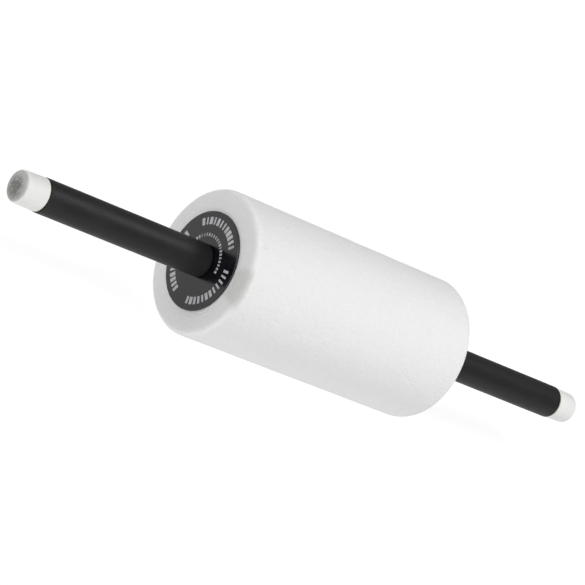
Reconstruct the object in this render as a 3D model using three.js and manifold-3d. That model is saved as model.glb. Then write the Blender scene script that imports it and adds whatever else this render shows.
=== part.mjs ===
// A foam roller on a through bar: a free-turning foam drum between two padded hand grips.
// Millimetres. +X runs along the bar, +Z is up, and the origin is on the floor under the drum's middle.
import * as THREE from 'three';
import { mergeVertices } from 'three/addons/utils/BufferGeometryUtils.js';
import Module from 'manifold-3d';

const wasm = await Module();
wasm.setup();

// Driving dimensions.
const DRUM_DIAMETER = 150;
const DRUM_LENGTH = 310;
const DRUM_EDGE_ROUND = 7;
const BAR_LENGTH = 790;
const BAR_TUBE_DIAMETER = 28;
const BAR_TUBE_WALL = 2.5;
const GRIP_DIAMETER = 34.6;
const GRIP_OUTER_END = 366.5;
const HUB_DISC_DIAMETER = 101;
const HUB_DISC_THICKNESS = 2;

// Clearances between pieces that touch, and between pieces that turn on each other.
const FIT_GAP = 0.3;
const RUNNING_GAP = 0.5;

// Drum liner, hub and bearing pieces.
const LINER_DIAMETER = 50;
const LINER_WALL = 3;
const HUB_SPIGOT_LENGTH = 26;
const BUSH_BARREL_RADIUS = 16.4;
const BUSH_FLANGE_RADIUS = 20;
const BUSH_FLANGE_THICKNESS = 2;
const WASHER_RADIUS = 19.5;
const WASHER_THICKNESS = 1.2;
const COLLAR_RADIUS = 19.5;
const COLLAR_WIDTH = 12;
const COLLAR_CHAMFER = 1;
const PIN_DIAMETER = 4;
const PIN_RECESS = 0.5;

// End caps.
const CAP_FACE_WALL = 2.4;
const CAP_MOUTH_RADIUS = 16.8;
const CAP_FACE_RADIUS = 16.2;
const CAP_RIM_ROUND = 3.2;
const CAP_AIR_GAP = 1.5;
const GRIP_END_ROUND = 0.8;

// Facets around each turned piece, and steps along each rounded edge.
const DRUM_FACETS = 72;
const TURNED_FACETS = 48;
const PIN_FACETS = 16;
const DRUM_ROUND_STEPS = 6;
const CAP_ROUND_STEPS = 5;

// Corners closer together than this are one corner.
const WELD_DISTANCE = 1e-4;

// Sizes that follow from the ones above.
const AXIS_HEIGHT = DRUM_DIAMETER / 2;
const DRUM_HALF = DRUM_LENGTH / 2;
const BAR_HALF = BAR_LENGTH / 2;
const TUBE_RADIUS = BAR_TUBE_DIAMETER / 2;
const TUBE_BORE_RADIUS = TUBE_RADIUS - BAR_TUBE_WALL;
const TUBE_HALF = BAR_HALF - CAP_FACE_WALL - CAP_AIR_GAP;
const ON_TUBE_RADIUS = TUBE_RADIUS + FIT_GAP;
const LINER_RADIUS = LINER_DIAMETER / 2;
const LINER_BORE_RADIUS = LINER_RADIUS - LINER_WALL;
const DISC_INNER_FACE = DRUM_HALF + FIT_GAP;
const DISC_OUTER_FACE = DISC_INNER_FACE + HUB_DISC_THICKNESS;
const SPIGOT_END = DISC_INNER_FACE - HUB_SPIGOT_LENGTH;
const BUSH_FLANGE_OUTER = SPIGOT_END - FIT_GAP;
const BUSH_FLANGE_INNER = BUSH_FLANGE_OUTER - BUSH_FLANGE_THICKNESS;
const WASHER_OUTER = BUSH_FLANGE_INNER - RUNNING_GAP;
const WASHER_INNER = WASHER_OUTER - WASHER_THICKNESS;
const COLLAR_OUTER = WASHER_INNER - FIT_GAP;
const COLLAR_INNER = COLLAR_OUTER - COLLAR_WIDTH;
const PIN_CENTRE = (COLLAR_OUTER + COLLAR_INNER) / 2;
const GRIP_INNER_END = DISC_OUTER_FACE + RUNNING_GAP;
const CAP_MOUTH = GRIP_OUTER_END + FIT_GAP;

const COLOURS = {
  foam: { color: 0xe9e8e6, roughness: 0.85, metalness: 0 },
  grip: { color: 0x1d1b1d, roughness: 0.8, metalness: 0 },
  hub: { color: 0x101012, roughness: 0.2, metalness: 0 },
  cap: { color: 0xe4e4e2, roughness: 0.35, metalness: 0 },
  pipe: { color: 0xdedfdc, roughness: 0.45, metalness: 0 },
  bush: { color: 0x1c1c1e, roughness: 0.5, metalness: 0 },
  steel: { color: 0x9a9c9f, roughness: 0.35, metalness: 1 },
};

const part = new THREE.Group();

/** Adds one named mesh to the part. */
function addPiece(name, geometry, finish) {
  const mesh = new THREE.Mesh(geometry, new THREE.MeshStandardMaterial(COLOURS[finish]));
  mesh.name = name;
  part.add(mesh);
}

/** Keeps only the positions of a geometry and merges the ones that coincide. */
function weld(geometry) {
  const welded = geometry.clone();
  welded.deleteAttribute('normal');
  welded.deleteAttribute('uv');
  return mergeVertices(welded, WELD_DISTANCE);
}

/**
 * Turns a closed outline of [along the bar, radius] points about the bar's axis.
 * A radius is measured to the middle of a facet, and one facet faces straight down.
 */
function turn(outline, facets = TURNED_FACETS) {
  const facetAngle = (2 * Math.PI) / facets;
  const toCorner = 1 / Math.cos(facetAngle / 2);
  const points = outline.map(([along, radius]) => new THREE.Vector2(radius * toCorner, along));
  const geometry = new THREE.LatheGeometry(points, facets, facetAngle / 2);
  // The lathe's axis is +Y: lay it along +X and lift it to the height of the bar.
  geometry.rotateZ(-Math.PI / 2);
  geometry.translate(0, 0, AXIS_HEIGHT);
  return weld(geometry);
}

/** The closed outline of a plain ring, wound so that its faces point out. */
function ringOutline(from, to, innerRadius, outerRadius) {
  return [
    [from, innerRadius],
    [from, outerRadius],
    [to, outerRadius],
    [to, innerRadius],
    [from, innerRadius],
  ];
}

/** Points of a quarter circle about (along, radius), from one angle to the next, in degrees. */
function quarterRound(along, radius, size, fromDegrees, steps) {
  return Array.from({ length: steps + 1 }, (_, i) => {
    const angle = THREE.MathUtils.degToRad(fromDegrees - (90 * i) / steps);
    return [along + size * Math.cos(angle), radius + size * Math.sin(angle)];
  });
}

/** Mirrors an outline to the bar's other end and keeps its faces pointing out. */
function mirrored(outline) {
  return outline.map(([along, radius]) => [-along, radius]).reverse();
}

/** Adds one turned piece at each end of the bar, from the outline of the right-hand one. */
function addPair(name, outline, finish) {
  addPiece(`${name}_right`, turn(outline), finish);
  addPiece(`${name}_left`, turn(mirrored(outline)), finish);
}

/** The soft drum: a thick foam ring with rounded outer edges. */
function foamDrum() {
  const boreRadius = LINER_RADIUS + FIT_GAP;
  const roundAlong = DRUM_HALF - DRUM_EDGE_ROUND;
  const roundRadius = AXIS_HEIGHT - DRUM_EDGE_ROUND;
  const outline = [
    [-DRUM_HALF, boreRadius],
    ...quarterRound(-roundAlong, roundRadius, DRUM_EDGE_ROUND, 180, DRUM_ROUND_STEPS),
    ...quarterRound(roundAlong, roundRadius, DRUM_EDGE_ROUND, 90, DRUM_ROUND_STEPS),
    [DRUM_HALF, boreRadius],
    [-DRUM_HALF, boreRadius],
  ];
  return turn(outline, DRUM_FACETS);
}

/** The stiff tube that lines the foam and joins the two hubs. */
function drumLiner() {
  return turn(ringOutline(-DRUM_HALF, DRUM_HALF, LINER_BORE_RADIUS, LINER_RADIUS));
}

/** A hub: a wide disc against the foam, with a spigot that plugs into the liner. */
function hubDiscOutline() {
  const boreRadius = BUSH_BARREL_RADIUS + FIT_GAP;
  const spigotRadius = LINER_BORE_RADIUS - FIT_GAP;
  const discRadius = HUB_DISC_DIAMETER / 2;
  const edgeBreak = HUB_DISC_THICKNESS / 4;
  return [
    [SPIGOT_END, boreRadius],
    [SPIGOT_END, spigotRadius],
    [DISC_INNER_FACE, spigotRadius],
    [DISC_INNER_FACE, discRadius],
    [DISC_OUTER_FACE - edgeBreak, discRadius],
    [DISC_OUTER_FACE, discRadius - edgeBreak],
    [DISC_OUTER_FACE, boreRadius],
    [SPIGOT_END, boreRadius],
  ];
}

/** A plain bearing bush in the hub, with its thrust flange on the inside. */
function bushOutline() {
  return [
    [BUSH_FLANGE_INNER, ON_TUBE_RADIUS],
    [BUSH_FLANGE_INNER, BUSH_FLANGE_RADIUS],
    [BUSH_FLANGE_OUTER, BUSH_FLANGE_RADIUS],
    [BUSH_FLANGE_OUTER, BUSH_BARREL_RADIUS],
    [DISC_OUTER_FACE, BUSH_BARREL_RADIUS],
    [DISC_OUTER_FACE, ON_TUBE_RADIUS],
    [BUSH_FLANGE_INNER, ON_TUBE_RADIUS],
  ];
}

/** The soft sleeve that a hand holds, from the hub to the end cap. */
function gripOutline() {
  const gripRadius = GRIP_DIAMETER / 2;
  return [
    [GRIP_INNER_END, ON_TUBE_RADIUS],
    [GRIP_INNER_END, gripRadius - GRIP_END_ROUND],
    [GRIP_INNER_END + GRIP_END_ROUND, gripRadius],
    [GRIP_OUTER_END - GRIP_END_ROUND, gripRadius],
    [GRIP_OUTER_END, gripRadius - GRIP_END_ROUND],
    [GRIP_OUTER_END, ON_TUBE_RADIUS],
    [GRIP_INNER_END, ON_TUBE_RADIUS],
  ];
}

/** A push-on end cap: a cup over the tube's end, slightly narrower at its rounded face. */
function endCapOutline() {
  const roundAlong = BAR_HALF - CAP_RIM_ROUND;
  const roundRadius = CAP_FACE_RADIUS - CAP_RIM_ROUND;
  return [
    [BAR_HALF - CAP_FACE_WALL, 0],
    [BAR_HALF - CAP_FACE_WALL, ON_TUBE_RADIUS],
    [CAP_MOUTH, ON_TUBE_RADIUS],
    [CAP_MOUTH, CAP_MOUTH_RADIUS],
    ...quarterRound(roundAlong, roundRadius, CAP_RIM_ROUND, 90, CAP_ROUND_STEPS),
    [BAR_HALF, 0],
  ];
}

/** The outline of a collar that stops the drum from sliding along the bar. */
function collarOutline() {
  return [
    [COLLAR_INNER, ON_TUBE_RADIUS],
    [COLLAR_INNER, COLLAR_RADIUS - COLLAR_CHAMFER],
    [COLLAR_INNER + COLLAR_CHAMFER, COLLAR_RADIUS],
    [COLLAR_OUTER - COLLAR_CHAMFER, COLLAR_RADIUS],
    [COLLAR_OUTER, COLLAR_RADIUS - COLLAR_CHAMFER],
    [COLLAR_OUTER, ON_TUBE_RADIUS],
    [COLLAR_INNER, ON_TUBE_RADIUS],
  ];
}

/** An upright rod through the bar's axis, used for a pin and for the hole it sits in. */
function crossRod(along, radius, length) {
  const geometry = new THREE.CylinderGeometry(radius, radius, length, PIN_FACETS);
  geometry.rotateX(Math.PI / 2);
  geometry.translate(along, 0, AXIS_HEIGHT);
  return weld(geometry);
}

/** Makes a manifold solid of a welded geometry. */
function toSolid(geometry) {
  return new wasm.Manifold(
    new wasm.Mesh({
      numProp: 3,
      vertProperties: new Float32Array(geometry.attributes.position.array),
      triVerts: new Uint32Array(geometry.index.array),
    }),
  );
}

/** Makes a geometry of a manifold solid. */
function toGeometry(solid) {
  const mesh = solid.getMesh();
  const geometry = new THREE.BufferGeometry();
  geometry.setAttribute('position', new THREE.BufferAttribute(mesh.vertProperties, 3));
  geometry.setIndex(new THREE.BufferAttribute(mesh.triVerts, 1));
  return geometry;
}

/** Drills the pin's hole through a piece at each of the given places along the bar. */
function drilled(geometry, places) {
  const holeRadius = PIN_DIAMETER / 2 + FIT_GAP;
  const holeLength = 2 * (COLLAR_RADIUS + PIN_DIAMETER);
  const holes = places.map((along) => toSolid(crossRod(along, holeRadius, holeLength)));
  const cut = holes.reduce((solid, hole) => solid.subtract(hole), toSolid(geometry));
  return toGeometry(cut);
}

/** The through tube that carries the drum, the grips and the caps. */
function barTube() {
  const tube = turn(ringOutline(-TUBE_HALF, TUBE_HALF, TUBE_BORE_RADIUS, TUBE_RADIUS));
  return drilled(tube, [-PIN_CENTRE, PIN_CENTRE]);
}

/** Adds the collars and the pins that hold them to the tube. */
function addCollars() {
  const pinLength = 2 * (COLLAR_RADIUS - PIN_RECESS);
  const collar = collarOutline();
  addPiece('locating_collar_right', drilled(turn(collar), [PIN_CENTRE]), 'bush');
  addPiece('locating_collar_left', drilled(turn(mirrored(collar)), [-PIN_CENTRE]), 'bush');
  addPiece('collar_pin_right', crossRod(PIN_CENTRE, PIN_DIAMETER / 2, pinLength), 'steel');
  addPiece('collar_pin_left', crossRod(-PIN_CENTRE, PIN_DIAMETER / 2, pinLength), 'steel');
}

// The drum, which turns as one.
addPiece('foam_drum', foamDrum(), 'foam');
addPiece('drum_liner', drumLiner(), 'pipe');
addPair('hub_disc', hubDiscOutline(), 'hub');
addPair('bush', bushOutline(), 'bush');

// The bar and everything fixed to it.
addPiece('bar_tube', barTube(), 'pipe');
addPair('grip_sleeve', gripOutline(), 'grip');
addPair('end_cap', endCapOutline(), 'cap');
addPair('thrust_washer', ringOutline(WASHER_INNER, WASHER_OUTER, ON_TUBE_RADIUS, WASHER_RADIUS), 'steel');
addCollars();

export default part;
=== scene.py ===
"""Looks of a foam roller: a foam drum that turns freely on a bar with a padded grip at each end."""

import logging
import math
from dataclasses import asdict, dataclass, field
from enum import Enum

import bmesh
import bpy
from mathutils import Matrix, Vector


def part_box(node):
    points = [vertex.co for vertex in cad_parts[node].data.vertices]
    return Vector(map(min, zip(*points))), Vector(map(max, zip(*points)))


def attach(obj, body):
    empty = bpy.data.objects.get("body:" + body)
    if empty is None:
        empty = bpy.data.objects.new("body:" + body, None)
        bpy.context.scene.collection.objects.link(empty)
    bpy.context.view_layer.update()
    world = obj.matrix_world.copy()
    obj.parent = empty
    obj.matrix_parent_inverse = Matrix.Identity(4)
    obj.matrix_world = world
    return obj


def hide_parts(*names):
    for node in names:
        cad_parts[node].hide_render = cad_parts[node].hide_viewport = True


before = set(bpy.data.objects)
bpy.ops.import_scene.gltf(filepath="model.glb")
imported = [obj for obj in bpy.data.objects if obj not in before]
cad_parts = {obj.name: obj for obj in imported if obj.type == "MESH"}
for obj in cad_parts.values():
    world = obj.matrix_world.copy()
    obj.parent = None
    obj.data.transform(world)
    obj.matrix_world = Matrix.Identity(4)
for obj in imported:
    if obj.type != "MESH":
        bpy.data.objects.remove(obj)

LOG = logging.getLogger("foam_roller")
MM = 0.001


class Body(Enum):
    """The two bodies that turn on each other."""

    BAR = "bar"
    DRUM = "drum"


class Slot(Enum):
    """Material slots named for the new pieces; settle is handed one for each piece but does not use it."""

    FOAM = "foam"
    GRIP = "grip"
    HUB = "hub"
    CAP = "cap"


class End(Enum):
    """An end of the bar, with the sign of its X."""

    LEFT = -1
    RIGHT = 1

    @property
    def label(self) -> str:
        """The end's name as it stands in the names of pieces."""
        return self.name.lower()


Colour = tuple[float, float, float]
Socket = bpy.types.NodeSocket


def rgba(colour: Colour) -> tuple[float, float, float, float]:
    """Gives a colour an alpha of one."""
    return (*colour, 1.0)


def as_inputs(settings: object) -> dict[str, object]:
    """Turns a dataclass into inputs of the tree that it is written for: ring_radius to Ring_Radius."""
    return {key.title(): value for key, value in asdict(settings).items()}


# --------------------------------------------------------------------------- node trees


@dataclass(frozen=True)
class Port:
    """One named input or output of a node group.

    Attributes:
        name: the socket's name.
        kind: the socket's type, less its NodeSocket prefix.
        value: the default value of an input.
    """

    name: str
    kind: str = "Float"
    value: object = None


class Graph:
    """A node tree under construction, with short calls for its nodes and links."""

    def __init__(self, tree: bpy.types.NodeTree) -> None:
        """Takes over an empty tree.

        Args:
            tree: the tree to build in.
        """
        self.tree = tree
        self.entry: bpy.types.Node | None = None
        self.exit: bpy.types.Node | None = None

    @classmethod
    def group(cls, name: str, kind: str, inputs: list[Port], outputs: list[Port]) -> "Graph":
        """Starts a node group with named inputs and outputs.

        Args:
            name: the group's name.
            kind: the tree's type, such as ShaderNodeTree.
            inputs: its inputs, in order.
            outputs: its outputs, in order.

        Returns:
            The graph that builds the group.
        """
        graph = cls(bpy.data.node_groups.new(name, kind))
        for ports, way in ((inputs, "INPUT"), (outputs, "OUTPUT")):
            for port in ports:
                socket = graph.tree.interface.new_socket(
                    name=port.name, in_out=way, socket_type=f"NodeSocket{port.kind}"
                )
                if port.value is not None:
                    socket.default_value = port.value
        graph.entry = graph.add("NodeGroupInput")
        graph.exit = graph.add("NodeGroupOutput")
        return graph

    @classmethod
    def effect(cls, name: str, inputs: list[Port], outputs: list[Port]) -> "Graph":
        """Starts a shader group whose first input is the place that it colours."""
        return cls.group(name, "ShaderNodeTree", [Port("Vector", "Vector"), *inputs], outputs)

    def add(self, kind: str, inputs: dict | None = None, **settings: object) -> bpy.types.Node:
        """Adds a node.

        Args:
            kind: the node's type.
            inputs: a value or a socket for each input, by name or number.
            **settings: the node's own properties.

        Returns:
            The new node.
        """
        node = self.tree.nodes.new(kind)
        for name, value in settings.items():
            setattr(node, name, value)
        for key, value in (inputs or {}).items():
            self.feed(node.inputs[key], value)
        return node

    def take(self, kind: str, inputs: dict | None = None, **settings: object) -> Socket:
        """Adds a node and gives its first output."""
        return self.add(kind, inputs, **settings).outputs[0]

    def feed(self, socket: Socket, value: object) -> None:
        """Links a socket into an input, or sets the input's value.

        Args:
            socket: the input.
            value: the socket or the value that it gets.
        """
        if isinstance(value, bpy.types.NodeSocket):
            self.tree.links.new(value, socket)
        else:
            socket.default_value = value

    def math(self, operation: str, *terms: object) -> Socket:
        """Works out one value from others."""
        return self.take("ShaderNodeMath", dict(enumerate(terms)), operation=operation)

    def plus(self, first: object, second: object) -> Socket:
        """Adds two values."""
        return self.math("ADD", first, second)

    def minus(self, first: object, second: object) -> Socket:
        """Takes the second value from the first."""
        return self.math("SUBTRACT", first, second)

    def times(self, first: object, second: object) -> Socket:
        """Multiplies two values."""
        return self.math("MULTIPLY", first, second)

    def ramp(self, value: Socket, low: object, high: object, start: float = 0.0, end: float = 1.0) -> Socket:
        """Turns a value smoothly from start, at low, to end, at high."""
        inputs = {0: value, 1: low, 2: high, 3: start, 4: end}
        return self.take("ShaderNodeMapRange", inputs, interpolation_type="SMOOTHSTEP")

    def share(self, factor: object, first: object, second: object) -> Socket:
        """Mixes two values by a factor from 0, the first, to 1, the second."""
        return self.take("ShaderNodeMix", {0: factor, 2: first, 3: second}, data_type="FLOAT")

    def blend(self, factor: object, first: object, second: object) -> Socket:
        """Mixes two colours by a factor from 0, the first, to 1, the second."""
        inputs = {0: factor, 6: first, 7: second}
        return self.add("ShaderNodeMix", inputs, data_type="RGBA", clamp_factor=True).outputs[2]

    def noise(self, vector: Socket, scale: object, detail: float = 2.0, rough: float = 0.5) -> Socket:
        """Soft random values from 0 to 1 over a place."""
        inputs = {"Vector": vector, "Scale": scale, "Detail": detail, "Roughness": rough}
        return self.take("ShaderNodeTexNoise", inputs)

    def finish(self, **results: Socket) -> bpy.types.NodeTree:
        """Ends the group.

        Args:
            **results: what its outputs get, an underscore standing for a space.

        Returns:
            The finished tree.
        """
        for name, socket in results.items():
            self.feed(self.exit.inputs[name.replace("_", " ")], socket)
        return self.tree


# ----------------------------------------------------------------- shared surface effects


class Effects:
    """The shader groups that more than one finish uses, each built once."""

    def __init__(self) -> None:
        """Builds every group."""
        self.place = self._place()
        self.cells = self._cells()
        self.skin = self._skin()
        self.handling = self._handling()
        self.rim_wear = self._rim_wear()

    @staticmethod
    def _place() -> bpy.types.NodeTree:
        """Builds the group that turns a point into its place along, out from and around the bar.

        Returns:
            The group's tree.
        """
        outputs = [Port("Along"), Port("From Middle"), Port("Radius"), Port("Around")]
        graph = Graph.effect("place_on_bar", [Port("Axis Height", value=75 * MM)], outputs)
        point = graph.add("ShaderNodeSeparateXYZ", {0: graph.entry.outputs["Vector"]})
        along, across, height = point.outputs
        up = graph.minus(height, graph.entry.outputs["Axis Height"])
        square = graph.plus(graph.times(up, up), graph.times(across, across))
        return graph.finish(
            Along=along,
            From_Middle=graph.math("ABSOLUTE", along),
            Radius=graph.math("SQRT", square),
            Around=graph.math("ARCTAN2", across, up),
        )

    @staticmethod
    def _cells() -> bpy.types.NodeTree:
        """Builds the group for closed-cell foam: soft bumps with small pits between them.

        Returns:
            The group's tree.
        """
        inputs = [Port("Cell Size", value=1.5 * MM), Port("Unevenness", value=0.5)]
        graph = Graph.effect("foam_cells", inputs, [Port("Height"), Port("Pits")])
        entry = graph.entry.outputs
        scale = graph.math("DIVIDE", 1.0, entry["Cell Size"])
        inputs = {"Vector": entry["Vector"], "Scale": scale, "Smoothness": 0.6, "Randomness": 0.9}
        cell = graph.add("ShaderNodeTexVoronoi", inputs, feature="SMOOTH_F1").outputs["Distance"]
        crown = graph.ramp(cell, low=0.05, high=0.75, start=1.0, end=0.0)
        three_cells = graph.times(scale, 0.33)
        broad = graph.noise(entry["Vector"], three_cells, detail=3.0, rough=0.55)
        uneven = graph.times(broad, entry["Unevenness"])
        between = graph.ramp(cell, low=0.45, high=0.8)
        pits = graph.times(between, graph.ramp(broad, low=0.45, high=0.65))
        return graph.finish(Height=graph.plus(crown, uneven), Pits=pits)

    @staticmethod
    def _skin() -> bpy.types.NodeTree:
        """Builds the group for moulded or extruded plastic: long waves under a fine grit.

        Returns:
            The group's tree.
        """
        inputs = [
            Port("Wave Size", value=20 * MM),
            Port("Grit Size", value=0.8 * MM),
            Port("Grit", value=0.3),
        ]
        graph = Graph.effect("moulded_skin", inputs, [Port("Height")])
        entry = graph.entry.outputs
        long = graph.math("DIVIDE", 1.0, entry["Wave Size"])
        short = graph.math("DIVIDE", 1.0, entry["Grit Size"])
        wave = graph.noise(entry["Vector"], long, detail=1.0, rough=0.4)
        grit = graph.noise(entry["Vector"], short, detail=3.0, rough=0.6)
        return graph.finish(Height=graph.plus(wave, graph.times(grit, entry["Grit"])))

    @staticmethod
    def _handling() -> bpy.types.NodeTree:
        """Builds the group for dust and hand marks: patches that tint a surface and dull its gloss.

        Returns:
            The group's tree.
        """
        inputs = [
            Port("Color", "Color"),
            Port("Mark Color", "Color"),
            Port("Amount", value=0.2),
            Port("Patch Size", value=30 * MM),
            Port("Roughness", value=0.5),
            Port("Dulling", value=0.1),
        ]
        graph = Graph.effect("handling_marks", inputs, [Port("Color", "Color"), Port("Roughness")])
        entry = graph.entry.outputs
        scale = graph.math("DIVIDE", 1.0, entry["Patch Size"])
        smears = graph.noise(entry["Vector"], scale, detail=4.0, rough=0.6)
        patches = graph.ramp(smears, low=0.42, high=0.68)
        dust = graph.noise(entry["Vector"], graph.times(scale, 25.0))
        specks = graph.ramp(dust, low=0.66, high=0.74, end=0.7)
        marks = graph.times(graph.math("MAXIMUM", patches, specks), entry["Amount"])
        duller = graph.times(patches, entry["Dulling"])
        return graph.finish(
            Color=graph.blend(marks, entry["Color"], entry["Mark Color"]),
            Roughness=graph.plus(entry["Roughness"], duller),
        )

    @staticmethod
    def _rim_wear() -> bpy.types.NodeTree:
        """Builds the group for an edge rubbed lighter, within a width of a given place.

        Returns:
            The group's tree.
        """
        inputs = [
            Port("Color", "Color"),
            Port("Worn Color", "Color"),
            Port("Measure"),
            Port("Edge At"),
            Port("Width", value=1 * MM),
            Port("Amount", value=0.5),
        ]
        graph = Graph.effect("rim_wear", inputs, [Port("Color", "Color")])
        entry = graph.entry.outputs
        inner = graph.minus(entry["Edge At"], entry["Width"])
        near = graph.ramp(entry["Measure"], inner, entry["Edge At"])
        broken = graph.ramp(graph.noise(entry["Vector"], 420.0, detail=3.0), low=0.4, high=0.62)
        mask = graph.times(graph.times(near, broken), entry["Amount"])
        return graph.finish(Color=graph.blend(mask, entry["Color"], entry["Worn Color"]))


EFFECTS = Effects()


@dataclass(frozen=True)
class Handling:
    """How dust and hand marks show on a finish.

    Attributes:
        colour: the marks' colour.
        amount: how strongly they tint the surface.
        patch: the size of a patch.
        dulling: how much rougher a patch is.
    """

    colour: Colour
    amount: float
    patch: float
    dulling: float = 0.1


@dataclass(frozen=True)
class Grain:
    """The fine relief of a moulded, extruded, printed or turned surface.

    Attributes:
        wave: the size of its long waves.
        size: the size of its grit.
        grit: how strong the grit is beside the waves.
        depth: how deep the relief is.
        strength: how much of it the light shows.
    """

    wave: float
    size: float
    grit: float
    depth: float
    strength: float = 1.0


class Coat:
    """One material under construction: its graph, its shader and its place on the object."""

    def __init__(self, name: str, axis_height: float) -> None:
        """Starts an empty material.

        Args:
            name: the material's name.
            axis_height: the height of the bar's axis.
        """
        self.material = bpy.data.materials.new(name)
        self.material.use_nodes = True
        self.material.node_tree.nodes.clear()
        self.graph = Graph(self.material.node_tree)
        self.shader = self.graph.add("ShaderNodeBsdfPrincipled")
        self.graph.add("ShaderNodeOutputMaterial", {"Surface": self.shader.outputs[0]})
        self.vector = self.graph.add("ShaderNodeTexCoord").outputs["Object"]
        self.place = self.effect(EFFECTS.place, Axis_Height=axis_height)

    def effect(self, tree: bpy.types.NodeTree, **inputs: object) -> bpy.types.bpy_prop_collection:
        """Places a shared effect, fed with the surface's own coordinates.

        Args:
            tree: the effect's node group.
            **inputs: its other inputs, an underscore standing for a space.

        Returns:
            The group's outputs.
        """
        node = self.graph.add("ShaderNodeGroup", node_tree=tree)
        self.graph.feed(node.inputs["Vector"], self.vector)
        for name, value in inputs.items():
            self.graph.feed(node.inputs[name.replace("_", " ")], value)
        return node.outputs

    def fix(self, **constants: object) -> None:
        """Sets constants on the shader's own sockets, an underscore standing for a space."""
        for name, value in constants.items():
            self.shader.inputs[name.replace("_", " ")].default_value = value

    def drive(self, **sources: Socket) -> None:
        """Links sockets into the shader's inputs, an underscore standing for a space."""
        for name, socket in sources.items():
            self.graph.feed(self.shader.inputs[name.replace("_", " ")], socket)

    def handle(self, colour: object, roughness: object, marks: Handling) -> None:
        """Drives the shader's colour and roughness, with handling marks over them.

        Args:
            colour: the clean colour.
            roughness: the clean roughness.
            marks: the marks.
        """
        marked = self.effect(
            EFFECTS.handling,
            Color=colour,
            Mark_Color=rgba(marks.colour),
            Amount=marks.amount,
            Patch_Size=marks.patch,
            Roughness=roughness,
            Dulling=marks.dulling,
        )
        self.drive(Base_Color=marked["Color"], Roughness=marked["Roughness"])

    def worn(self, colour: Colour, rubbed: Colour, measure: Socket, edge: float, width: float) -> Socket:
        """Rubs a colour lighter at an edge.

        Args:
            colour: the colour.
            rubbed: the colour of the rubbed edge.
            measure: what is measured towards the edge.
            edge: its value at the edge.
            width: how wide the rubbed band is.

        Returns:
            The colour with its rubbed edge.
        """
        return self.effect(
            EFFECTS.rim_wear,
            Color=rgba(colour),
            Worn_Color=rgba(rubbed),
            Measure=measure,
            Edge_At=edge,
            Width=width,
        )["Color"]

    def skin(self, grain: Grain) -> Socket:
        """Gives the height of a moulded surface's grain."""
        sizes = {"Wave_Size": grain.wave, "Grit_Size": grain.size, "Grit": grain.grit}
        return self.effect(EFFECTS.skin, **sizes)["Height"]

    def relief(self, height: Socket, depth: float, strength: float = 1.0) -> None:
        """Gives the surface a relief of the given depth in metres."""
        inputs = {"Height": height, "Distance": depth, "Strength": strength}
        self.drive(Normal=self.graph.take("ShaderNodeBump", inputs))


# ------------------------------------------------------------------------------- finishes


class Finish:
    """A finish, which paints one material of its name."""

    name: str

    def material(self, axis_height: float) -> bpy.types.Material:
        """Builds the finish's material.

        Args:
            axis_height: the height of the bar's axis.

        Returns:
            The material.
        """
        coat = Coat(self.name, axis_height)
        self.paint(coat)
        return coat.material

    def paint(self, coat: Coat) -> None:
        """Paints the material."""
        raise NotImplementedError


@dataclass(frozen=True)
class Crease:
    """A fine crease in the foam, running along the drum.

    Attributes:
        start: the end of the crease at the drum's edge, along the bar.
        length: how far it runs, with the sign of its direction.
        angle: its place around the drum, from the top towards +Y, in degrees.
        slant: how far it strays sideways over its length.
        core: half the width of its deepest part.
        fade: where it has gone, to each side.
    """

    start: float
    length: float
    angle: float
    slant: float = 1 * MM
    core: float = 0.2 * MM
    fade: float = 0.9 * MM


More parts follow.
